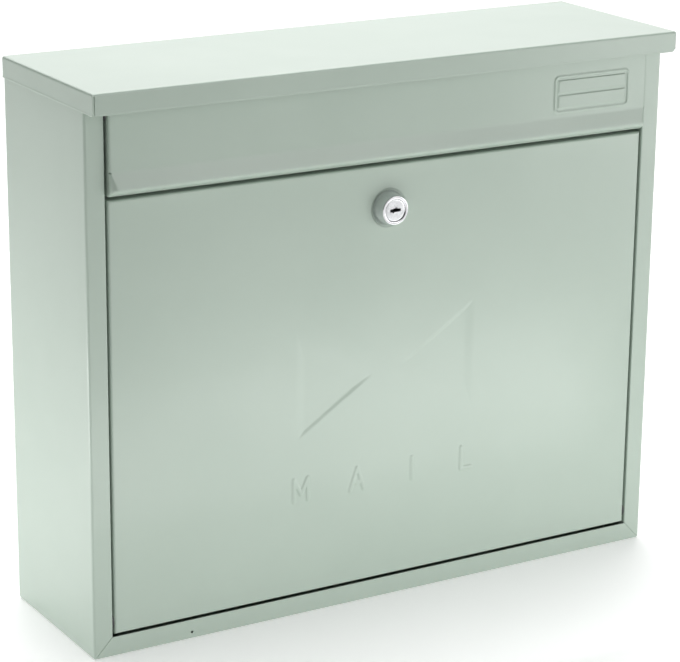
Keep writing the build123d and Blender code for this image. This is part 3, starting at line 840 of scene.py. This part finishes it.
head_y = housing_low.y
tail_y = housing_high.y
foot_y = FRONT_Y + RECESS_DEPTH
plug_y = plug_low.y
housing_profile = [
    (6.25, plug_y + 3.1 * MM), (6.25, plug_y), (6.32, head_y + 0.22 * MM), (6.5, head_y + 0.08 * MM),
    (6.75, head_y), (7.5, head_y), (7.8, head_y + 0.06 * MM), (7.98, head_y + 0.25 * MM),
    (8.05, head_y + 0.6 * MM), (8.6, head_y + 3.0 * MM), (9.4, foot_y - 1.4 * MM), (9.7, foot_y - 0.7 * MM),
    (9.78, foot_y - 0.3 * MM), (9.7, foot_y - 0.02 * MM), (7.0, foot_y - 0.02 * MM), (7.0, foot_y + 1.5 * MM),
]
thread_start, thread_end = foot_y + 1.5 * MM, tail_y - 1.0 * MM
THREAD_PITCH = 1.0 * MM
turns = int((thread_end - thread_start) / THREAD_PITCH)
for ridge in range(turns):
    ridge_y = thread_start + ridge * THREAD_PITCH
    housing_profile += [
        (6.55, ridge_y + 0.35 * MM), (6.55, ridge_y + 0.5 * MM),
        (7.0, ridge_y + 0.85 * MM), (7.0, ridge_y + MM)]
housing_profile += [(6.4, tail_y - 0.3 * MM), (6.2, tail_y), (4.85, tail_y), (4.85, plug_y + 3.1 * MM)]
lock_head = turned("lock_head", housing_profile)
tidy_surface(lock_head, Vector((0, (head_y + tail_y) / 2, LOCK_Z)))
smooth_finish(lock_head, 28)
report(lock_head)

# %% Plug with its keyway
KEYWAY_WIDTH = 6.6 * MM
KEYWAY_HEIGHT = 1.7 * MM
KEYWAY_DEPTH = 16 * MM
plug_shoulder = plug_y + 3.0 * MM
drive_y = plug_high.y
shank_y = housing_high.y
plug_profile = [
    (0.0, plug_y), (5.2, plug_y), (5.6, plug_y + 0.02 * MM),
    (5.95, plug_y + 0.1 * MM), (6.14, plug_y + 0.32 * MM),
    (6.18, plug_shoulder), (4.8, plug_shoulder), (4.8, shank_y), (0.0, shank_y),
]
DRIVE = 6.0 * MM
lock_plug = turned("lock_core_plug", plug_profile, closed=False)
tidy_surface(lock_plug, Vector((0, (plug_y + shank_y) / 2, LOCK_Z)))


def block(low, high):
    """A closed block between two corners."""
    net = bmesh.new()
    bmesh.ops.create_cube(net, size=1)
    for vertex in net.verts:
        for axis in range(3):
            vertex.co[axis] = low[axis] if vertex.co[axis] < 0 else high[axis]
    mesh = bpy.data.meshes.new("block")
    net.to_mesh(mesh)
    net.free()
    made = bpy.data.objects.new("block", mesh)
    bpy.context.collection.objects.link(made)
    return made


slot_low = (-KEYWAY_WIDTH / 2, plug_y - MM, LOCK_Z - KEYWAY_HEIGHT / 2)
slot_high = (KEYWAY_WIDTH / 2, plug_y + KEYWAY_DEPTH, LOCK_Z + KEYWAY_HEIGHT / 2)
cut(lock_plug, block(slot_low, slot_high))
ward_z = LOCK_Z + KEYWAY_HEIGHT / 2
nick_x, nick_z = -KEYWAY_WIDTH / 5, LOCK_Z - KEYWAY_HEIGHT / 2
cut(lock_plug, rod(1.3 * MM, (0, plug_y - MM, ward_z), (0, plug_y + 1.2 * MM, ward_z)))
cut(lock_plug, rod(0.65 * MM, (nick_x, plug_y - MM, nick_z), (nick_x, plug_y + KEYWAY_DEPTH, nick_z), 20))
drive = block((-DRIVE / 2, shank_y - 0.2 * MM, LOCK_Z - DRIVE / 2), (DRIVE / 2, drive_y, LOCK_Z + DRIVE / 2))
union = lock_plug.modifiers.new("drive", "BOOLEAN")
union.operation, union.solver, union.object = "UNION", "EXACT", drive
evaluated_copy(lock_plug)
bpy.data.objects.remove(drive)
smooth_finish(lock_plug, 28)
report(lock_plug)

# %% [markdown]
# ## Powder coat
# The coat is a sage green that was baked on, half glossy, with the fine orange peel that every powder coat
# has and a slower wave that comes from the thin sheet below. Colour, gloss and both waves vary a little, all
# read from the object's own coordinates, so the pattern stays put from every side.

# %% Helpers for materials
def material_with_shader(name):
    """A new material, its node tree and its shader."""
    made = bpy.data.materials.new(name)
    made.use_nodes = True
    return made, made.node_tree, made.node_tree.nodes["Principled BSDF"]


def grain(tree, size, detail=2.0, stretch=(1, 1, 1), centre=(0, 0, 0)):
    """Noise with features of one size in metres, in object coordinates."""
    place = tree.nodes.new("ShaderNodeTexCoord")
    mapping = tree.nodes.new("ShaderNodeMapping")
    mapping.inputs["Scale"].default_value = stretch
    mapping.inputs["Location"].default_value = centre
    noise = tree.nodes.new("ShaderNodeTexNoise")
    noise.inputs["Scale"].default_value = 1 / size
    noise.inputs["Detail"].default_value = detail
    tree.links.new(place.outputs["Object"], mapping.inputs["Vector"])
    tree.links.new(mapping.outputs["Vector"], noise.inputs["Vector"])
    return noise.outputs["Fac"]


def between(tree, value, low, high):
    """Spreads a noise's middle range over two values."""
    spread = tree.nodes.new("ShaderNodeMapRange")
    spread.inputs["From Min"].default_value = 0.3
    spread.inputs["From Max"].default_value = 0.7
    spread.inputs["To Min"].default_value = low
    spread.inputs["To Max"].default_value = high
    tree.links.new(value, spread.inputs["Value"])
    return spread.outputs["Result"]


def two_tones(tree, value, first, second):
    """Blends two colours by a value."""
    ramp_node = tree.nodes.new("ShaderNodeValToRGB")
    ramp_node.color_ramp.elements[0].position = 0.3
    ramp_node.color_ramp.elements[1].position = 0.7
    ramp_node.color_ramp.elements[0].color = (*first, 1)
    ramp_node.color_ramp.elements[1].color = (*second, 1)
    tree.links.new(value, ramp_node.inputs["Fac"])
    return ramp_node.outputs["Color"]


def bumps(tree, shader, *layers):
    """Stacks bump layers of (value, height in metres)."""
    last = None
    for value, height in layers:
        bump = tree.nodes.new("ShaderNodeBump")
        bump.inputs["Strength"].default_value = 1.0
        bump.inputs["Distance"].default_value = height
        tree.links.new(value, bump.inputs["Height"])
        if last:
            tree.links.new(last, bump.inputs["Normal"])
        last = bump.outputs["Normal"]
    tree.links.new(last, shader.inputs["Normal"])


print("materials are read in object coordinates, in metres")

# %% Powder coat
SAGE = (0.417, 0.500, 0.432)
SAGE_DEEP = (0.401, 0.484, 0.417)

powder_coat, tree, shader = material_with_shader("painted_steel")
tree.links.new(two_tones(tree, grain(tree, 60 * MM, 3), SAGE_DEEP, SAGE), shader.inputs["Base Color"])
tree.links.new(between(tree, grain(tree, 45 * MM, 1), 0.30, 0.35), shader.inputs["Roughness"])
shader.inputs["Coat Weight"].default_value = 0.25
shader.inputs["Coat Roughness"].default_value = 0.12
peel = (grain(tree, 1.5 * MM, 1.5), 0.006 * MM)
sheet_wave = (grain(tree, 26 * MM, 0.0), 0.030 * MM)
bumps(tree, shader, sheet_wave, peel)
print("powder coat", [round(value, 2) for value in SAGE])

# %% [markdown]
# ## Metal, nylon and rubber
# The lock's head is chrome plated and its plug is turned, which leaves fine rings round the axis. The hidden
# parts are zinc plated. Zinc is duller, with a faint pattern of crystals.

# %% Chrome and turned metal
def rings(tree, pitch):
    """Fine rings round the lock's axis."""
    place = tree.nodes.new("ShaderNodeTexCoord")
    mapping = tree.nodes.new("ShaderNodeMapping")
    mapping.inputs["Location"].default_value = (0, 0, -LOCK_Z)
    wave = tree.nodes.new("ShaderNodeTexWave")
    wave.wave_type, wave.rings_direction = "RINGS", "Y"
    wave.inputs["Scale"].default_value = 0.314 / pitch
    wave.inputs["Distortion"].default_value = 1.5
    wave.inputs["Detail"].default_value = 3.0
    tree.links.new(place.outputs["Object"], mapping.inputs["Vector"])
    tree.links.new(mapping.outputs["Vector"], wave.inputs["Vector"])
    return wave.outputs["Fac"]


chrome, tree, shader = material_with_shader("chrome")
shader.inputs["Metallic"].default_value = 1.0
tone = two_tones(tree, grain(tree, 5 * MM), (0.66, 0.66, 0.68), (0.76, 0.76, 0.78))
tree.links.new(tone, shader.inputs["Base Color"])
tree.links.new(between(tree, grain(tree, 1.2 * MM, 4), 0.10, 0.18), shader.inputs["Roughness"])
bumps(tree, shader, (grain(tree, 3 * MM, 1), 0.006 * MM))

turned_metal, tree, shader = material_with_shader("turned_metal")
shader.inputs["Metallic"].default_value = 1.0
tone = two_tones(tree, grain(tree, 2 * MM, 4), (0.52, 0.53, 0.54), (0.66, 0.67, 0.68))
tree.links.new(tone, shader.inputs["Base Color"])
tree.links.new(between(tree, rings(tree, 0.35 * MM), 0.22, 0.36), shader.inputs["Roughness"])
bumps(tree, shader, (rings(tree, 0.35 * MM), 0.004 * MM))
print("chrome and turned metal are ready")

# %% Zinc, nylon and rubber
zinc, tree, shader = material_with_shader("zinc_steel")
shader.inputs["Metallic"].default_value = 0.9
crystal_place = tree.nodes.new("ShaderNodeTexCoord")
crystals = tree.nodes.new("ShaderNodeTexVoronoi")
crystals.inputs["Scale"].default_value = 1 / (2.4 * MM)
tree.links.new(crystal_place.outputs["Object"], crystals.inputs["Vector"])
one_channel = tree.nodes.new("ShaderNodeSeparateColor")
tree.links.new(crystals.outputs["Color"], one_channel.inputs["Color"])
tone = two_tones(tree, one_channel.outputs["Red"], (0.50, 0.52, 0.54), (0.66, 0.68, 0.70))
tree.links.new(tone, shader.inputs["Base Color"])
tree.links.new(between(tree, grain(tree, 1.6 * MM, 4), 0.28, 0.46), shader.inputs["Roughness"])
bumps(tree, shader, (grain(tree, 0.8 * MM, 3), 0.010 * MM))

# The washers' near-black tone is painted shade: it is set so that a washer seen in the hinge gap under the
# roof lip reads as dark as the shade there.
nylon, tree, shader = material_with_shader("nylon")
tone = two_tones(tree, grain(tree, 3 * MM, 3), (0.05, 0.05, 0.052), (0.08, 0.08, 0.082))
tree.links.new(tone, shader.inputs["Base Color"])
tree.links.new(between(tree, grain(tree, 1 * MM, 3), 0.38, 0.52), shader.inputs["Roughness"])
bumps(tree, shader, (grain(tree, 0.5 * MM, 2), 0.008 * MM))

rubber, tree, shader = material_with_shader("rubber")
tone = two_tones(tree, grain(tree, 1.5 * MM, 4), (0.018, 0.018, 0.019), (0.034, 0.034, 0.036))
tree.links.new(tone, shader.inputs["Base Color"])
tree.links.new(between(tree, grain(tree, 1 * MM, 3), 0.62, 0.82), shader.inputs["Roughness"])
bumps(tree, shader, (grain(tree, 0.4 * MM, 3), 0.02 * MM))
print("zinc, nylon and rubber are ready")

# %% Materials of the pieces made so far
def painted(piece, material):
    piece.data.materials.clear()
    piece.data.materials.append(material)


for sheet_piece in (door_sheet, flap_sheet, case_sheet, roof_sheet):
    painted(sheet_piece, powder_coat)
painted(lock_head, chrome)
painted(lock_plug, turned_metal)

node_material = {
    "back_panel": powder_coat, "cross_rail": powder_coat, "lock_washer": zinc, "lock_nut": zinc,
    "cam_stop_washer": zinc, "lock_cam": zinc, "cam_screw": zinc,
}
for node_name, material in node_material.items():
    for slot in frame["nodes"][node_name].material_slots:
        slot.material = material
print(len(node_material), "packed nodes keep their shape and get a finish")

# %% [markdown]
# ## Pins, rivets, washers and buffers
# These small turned parts come in pairs and fours, and each kind has one outline. A node tree swings the
# outline round an axis to make one part, sets a copy on every place that it is given, and turns the copies
# on the right-hand side to face the other way. Realize Instances makes the copies real, because the export
# keeps only real meshes.

# %% The node tree that repeats a turned part
def repeat_tree():
    tree = bpy.data.node_groups.new("repeated_turned_part", "GeometryNodeTree")
    for name, kind, value in [
        ("Places", "Geometry", None), ("Outline", "Object", None), ("Sides", "Int", 32),
        ("Left turn", "Float", 0.0), ("Right turn", "Float", pi), ("Finish", "Material", None),
    ]:
        made = tree.interface.new_socket(name, in_out="INPUT", socket_type="NodeSocket" + kind)
        if value is not None:
            made.default_value = value
    tree.interface.new_socket("Parts", in_out="OUTPUT", socket_type="NodeSocketGeometry")

    def node(kind, **settings):
        made = tree.nodes.new(kind)
        for key, value in settings.items():
            setattr(made, key, value)
        return made

    def link(source, target):
        tree.links.new(source, target)

    def maths(operation, first, second):
        made = node("ShaderNodeMath", operation=operation)
        for socket, value in zip(made.inputs, (first, second)):
            if isinstance(value, (int, float)):
                socket.default_value = value
            else:
                link(value, socket)
        return made.outputs["Value"]

    enter, leave = node("NodeGroupInput"), node("NodeGroupOutput")
    outline = node("GeometryNodeObjectInfo")
    link(enter.outputs["Outline"], outline.inputs["Object"])
    count = node("GeometryNodeAttributeDomainSize")
    link(outline.outputs["Geometry"], count.inputs["Geometry"])
    around = maths("ADD", enter.outputs["Sides"], 1.0)
    # a flat net with one column for each outline point, rolled up round the x axis
    net = node("GeometryNodeMeshGrid")
    link(count.outputs["Point Count"], net.inputs["Vertices X"])
    link(around, net.inputs["Vertices Y"])
    number = node("GeometryNodeInputIndex").outputs["Index"]
    column = maths("FLOOR", maths("DIVIDE", maths("ADD", number, 0.5), around), 0.0)
    row = maths("SUBTRACT", number, maths("MULTIPLY", column, around))
    read = node("GeometryNodeSampleIndex", data_type="FLOAT_VECTOR")
    link(outline.outputs["Geometry"], read.inputs["Geometry"])
    link(node("GeometryNodeInputPosition").outputs["Position"], read.inputs["Value"])
    link(column, read.inputs["Index"])
    split = node("ShaderNodeSeparateXYZ")
    link(read.outputs["Value"], split.inputs["Vector"])
    angle = maths("DIVIDE", maths("MULTIPLY", row, 2 * pi), enter.outputs["Sides"])
    rolled = node("ShaderNodeCombineXYZ")
    link(split.outputs["X"], rolled.inputs["X"])
    link(maths("MULTIPLY", split.outputs["Y"], maths("COSINE", angle, 0.0)), rolled.inputs["Y"])
    link(maths("MULTIPLY", split.outputs["Y"], maths("SINE", angle, 0.0)), rolled.inputs["Z"])
    roll = node("GeometryNodeSetPosition")
    link(net.outputs["Mesh"], roll.inputs["Geometry"])
    link(rolled.outputs["Vector"], roll.inputs["Position"])
    close = node("GeometryNodeMergeByDistance")
    close.inputs["Distance"].default_value = 0.01 * MM
    link(roll.outputs["Geometry"], close.inputs["Geometry"])
    # one copy on each place
    place_x = node("ShaderNodeSeparateXYZ")
    link(node("GeometryNodeInputPosition").outputs["Position"], place_x.inputs["Vector"])
    on_right = maths("GREATER_THAN", place_x.outputs["X"], 0.0)
    on_left = maths("SUBTRACT", 1.0, on_right)
    left_part = maths("MULTIPLY", on_left, enter.outputs["Left turn"])
    right_part = maths("MULTIPLY", on_right, enter.outputs["Right turn"])
    turn = node("ShaderNodeCombineXYZ")
    link(maths("ADD", left_part, right_part), turn.inputs["Z"])
    repeat = node("GeometryNodeInstanceOnPoints")
    link(enter.outputs["Places"], repeat.inputs["Points"])
    link(close.outputs["Geometry"], repeat.inputs["Instance"])
    link(turn.outputs["Vector"], repeat.inputs["Rotation"])
    real = node("GeometryNodeRealizeInstances")
    link(repeat.outputs["Instances"], real.inputs["Geometry"])
    finish = node("GeometryNodeSetMaterial")
    link(real.outputs["Geometry"], finish.inputs["Geometry"])
    link(enter.outputs["Finish"], finish.inputs["Material"])
    link(finish.outputs["Geometry"], leave.inputs["Parts"])
    return tree


turned_part_tree = repeat_tree()
print("the tree has", len(turned_part_tree.nodes), "nodes")


# %% From outline and places to a set of parts
def part_set(name, outline, places, finish, left_turn=0.0, right_turn=pi, sides=32):
    """Outline points are (along, radius) in millimetres from each place."""
    outline_points = [(along * MM, radius * MM, 0) for along, radius in outline]
    outline_piece = new_piece(name + "_outline", outline_points, [])
    piece = new_piece(name, [tuple(place) for place in places], [])
    modifier = piece.modifiers.new("repeat", "NODES")
    modifier.node_group = turned_part_tree
    wanted = {
        "Outline": outline_piece, "Sides": sides, "Left turn": float(left_turn),
        "Right turn": float(right_turn), "Finish": finish,
    }
    for item in turned_part_tree.interface.items_tree:
        if item.item_type == "SOCKET" and item.in_out == "INPUT" and item.name in wanted:
            modifier[item.identifier] = wanted[item.name]
    evaluated_copy(piece)
    bpy.data.objects.remove(outline_piece)
    net = bmesh.new()
    net.from_mesh(piece.data)
    bmesh.ops.recalc_face_normals(net, faces=net.faces)
    net.to_mesh(piece.data)
    net.free()
    painted(piece, finish)
    smooth_finish(piece, 35)
    report(piece)
    return piece


def middle_of(node_name):
    low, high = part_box(node_name)
    return (low + high) / 2


pin_low, pin_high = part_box("door_pin_left")
half_pin = (pin_high.x - pin_low.x) / 2 / MM
HEAD = 1.2
pin_outline = [
    (-half_pin, 0), (-half_pin, 1.7), (-half_pin + 0.15, 2.3),
    (-half_pin + 0.45, 2.7), (-half_pin + 0.8, 2.8),
    (-half_pin + HEAD, 2.8), (-half_pin + HEAD, 2.0), (half_pin - 0.5, 2.0), (half_pin - 0.1, 1.7),
    (half_pin, 1.4), (half_pin, 0),
]
pin_names = ("door_pin_left", "door_pin_right", "flap_pin_left", "flap_pin_right")
pin_places = [middle_of(name) for name in pin_names]
pins = part_set("hinge_pin_set", pin_outline, pin_places, zinc)

# %% Rivets
rivet_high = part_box("rail_rivets")[1]
RIVET_GRIP = 1.6
rivet_outline = [
    (1.0, 0), (0.98, 1.1), (0.85, 2.0), (0.6, 2.7), (0.3, 3.1), (0.0, 3.2), (0.0, 1.6), (-RIVET_GRIP, 1.6),
    (-RIVET_GRIP, 2.4), (-RIVET_GRIP - 0.9, 2.4), (-RIVET_GRIP - 1.25, 2.2), (-RIVET_GRIP - 1.4, 1.7),
    (-RIVET_GRIP - 1.4, 1.0), (-RIVET_GRIP - 0.9, 0.8), (-RIVET_GRIP - 0.9, 0),
]
rivet_places = [
    (side * (rivet_high.x - 3.0 * MM), rivet_y, rivet_z + half * RIVET_PITCH / 2)
    for side in (-1, 1) for half in (-1, 1)
]
rivets = part_set("rail_rivet_set", rivet_outline, rivet_places, zinc)

# %% Washers and buffers
washer_outline = [
    (-0.5, 2.1), (-0.5, 4.3), (-0.35, 4.5), (0.35, 4.5), (0.5, 4.3), (0.5, 2.1), (-0.5, 2.1),
]
washer_places = []
for washer_node, axis in (("door_washers", door_axis), ("flap_washers", flap_axis)):
    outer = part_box(washer_node)[1].x - 0.5 * MM
    washer_places += [(side * outer, axis[1], axis[2]) for side in (-1, 1)]
washers = part_set("nylon_washer_set", washer_outline, washer_places, nylon)

buffer_low, buffer_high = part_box("flap_buffers")
buffer_outline = [(0, 0), (0, 4.0), (0.5, 4.0), (0.8, 3.8), (0.95, 3.4), (1.0, 2.6), (0.97, 0)]
buffer_z = (buffer_low.z + buffer_high.z) / 2
buffer_places = [(side * (buffer_high.x - 4 * MM), buffer_high.y, buffer_z) for side in (-1, 1)]
buffers = part_set("flap_buffer_set", buffer_outline, buffer_places, rubber, -pi / 2, -pi / 2, 40)

# %% [markdown]
# ## What moves with what
# Every new piece rides on the body that carries the imported part it stands for.

# %% Bodies that the pieces ride on
riding = [
    (case_sheet, "case", "painted_steel", ["casing"]),
    (roof_sheet, "case", "painted_steel", ["roof"]),
    (pins, "case", "zinc_steel", ["door_pin_left", "door_pin_right", "flap_pin_left", "flap_pin_right"]),
    (rivets, "case", "zinc_steel", ["rail_rivets"]),
    (washers, "case", "nylon", ["door_washers", "flap_washers"]),
    (buffers, "case", "rubber", ["flap_buffers"]),
    (door_sheet, "door_leaf", "painted_steel", ["door"]),
    (lock_head, "door_leaf", "chrome", ["lock_housing"]),
    (lock_plug, "lock_core", "chrome", ["lock_plug"]),
    (flap_sheet, "flap_leaf", "painted_steel", ["flap"]),
]
for piece, body, slot_name, node_names in riding:
    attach(piece, body)
    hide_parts(*node_names)

# %% [markdown]
# ## Floor and light
# A white table and an even, pale room give a soft studio light. Two parts of the room are
# brighter: one behind, which whitens the roof by reflection, and one in front, which shows in the flare
# of the flap. Low white cards stand close to the box and throw light on its lower parts.

# %% Floor
FLOOR_HALF = 9.0
corners = [(-1, -1), (1, -1), (1, 1), (-1, 1)]
floor = new_piece("floor", [(x * FLOOR_HALF, y * FLOOR_HALF, case_low.z) for x, y in corners], [(0, 1, 2, 3)])
table_top, tree, shader = material_with_shader("table_top")
tone = two_tones(tree, grain(tree, 0.9, 2), (0.89, 0.893, 0.89), (0.91, 0.913, 0.91))
tree.links.new(tone, shader.inputs["Base Color"])
tree.links.new(between(tree, grain(tree, 0.2, 2), 0.55, 0.7), shader.inputs["Roughness"])
shader.inputs["Emission Color"].default_value = (1.0, 1.0, 1.0, 1)
shader.inputs["Emission Strength"].default_value = 0.24
painted(floor, table_top)
print("floor at", round(case_low.z / MM, 1), "mm")

# %% Room light
EVEN = 0.13
room = bpy.data.worlds.new("room")
room.use_nodes = True
bpy.context.scene.world = room
tree = room.node_tree
background = tree.nodes["Background"]
background.inputs["Color"].default_value = (1.0, 1.0, 1.0, 1)
direction = tree.nodes.new("ShaderNodeTexCoord")


def bright_patch(towards, edge, core, strength):
    """Extra brightness round one direction, fading from the cosine core to the cosine edge."""
    closeness = tree.nodes.new("ShaderNodeVectorMath")
    closeness.operation = "DOT_PRODUCT"
    closeness.inputs[1].default_value = Vector(towards).normalized()
    fade = tree.nodes.new("ShaderNodeMapRange")
    fade.interpolation_type = "SMOOTHSTEP"
    for socket, value in zip(("From Min", "From Max", "To Min", "To Max"), (edge, core, 0.0, strength)):
        fade.inputs[socket].default_value = value
    tree.links.new(direction.outputs["Generated"], closeness.inputs[0])
    tree.links.new(closeness.outputs["Value"], fade.inputs["Value"])
    return fade.outputs["Result"]


def added(first, second):
    total = tree.nodes.new("ShaderNodeMath")
    tree.links.new(first, total.inputs[0])
    if isinstance(second, float):
        total.inputs[1].default_value = second
    else:
        tree.links.new(second, total.inputs[1])
    return total.outputs["Value"]


behind = bright_patch((0.49, 0.82, 0.29), 0.75, 0.95, 0.95)
in_front = bright_patch((0.49, -0.84, 0.24), 0.94, 0.99, 3.1)
tree.links.new(added(added(behind, in_front), EVEN), background.inputs["Strength"])
print("room brightness", EVEN, "with two brighter parts")


# %% Soft boxes and cards
def soft_box(name, place, aim, width, height, watts):
    light = bpy.data.lights.new(name, "AREA")
    light.shape = "RECTANGLE"
    light.size, light.size_y, light.energy = width, height, watts
    holder = bpy.data.objects.new(name, light)
    away = Vector(place) - Vector(aim)
    holder.matrix_world = Matrix.Translation(place) @ away.to_track_quat("Z", "Y").to_matrix().to_4x4()
    holder.visible_camera = False
    bpy.context.collection.objects.link(holder)


card_z = case_low.z + 45 * MM
soft_box("overhead_box", (0, 0.1, 1.2), (0, 0.1, 0), 1.2, 0.8, 11.7)
soft_box("far_table_box", (0.8, 1.9, 1.6), (0.8, 1.9, 0), 3.0, 3.0, 43.7)
soft_box("right_box", (0.9, -0.8, -0.05), (0.1, -0.1, -0.05), 0.5, 0.5, 2.58)
soft_box("front_card", (0, -0.26, card_z), (0, -0.10, 0.01), 0.5, 0.08, 0.165)
soft_box("front_right_card", (0.16, -0.34, card_z), (0.1, -0.12, 0.02), 0.3, 0.08, 0.08)
soft_box("left_card", (-0.45, 0.02, card_z), (-0.2, -0.05, 0), 0.3, 0.08, 0.58)
bpy.context.scene.view_settings.view_transform = "Standard"
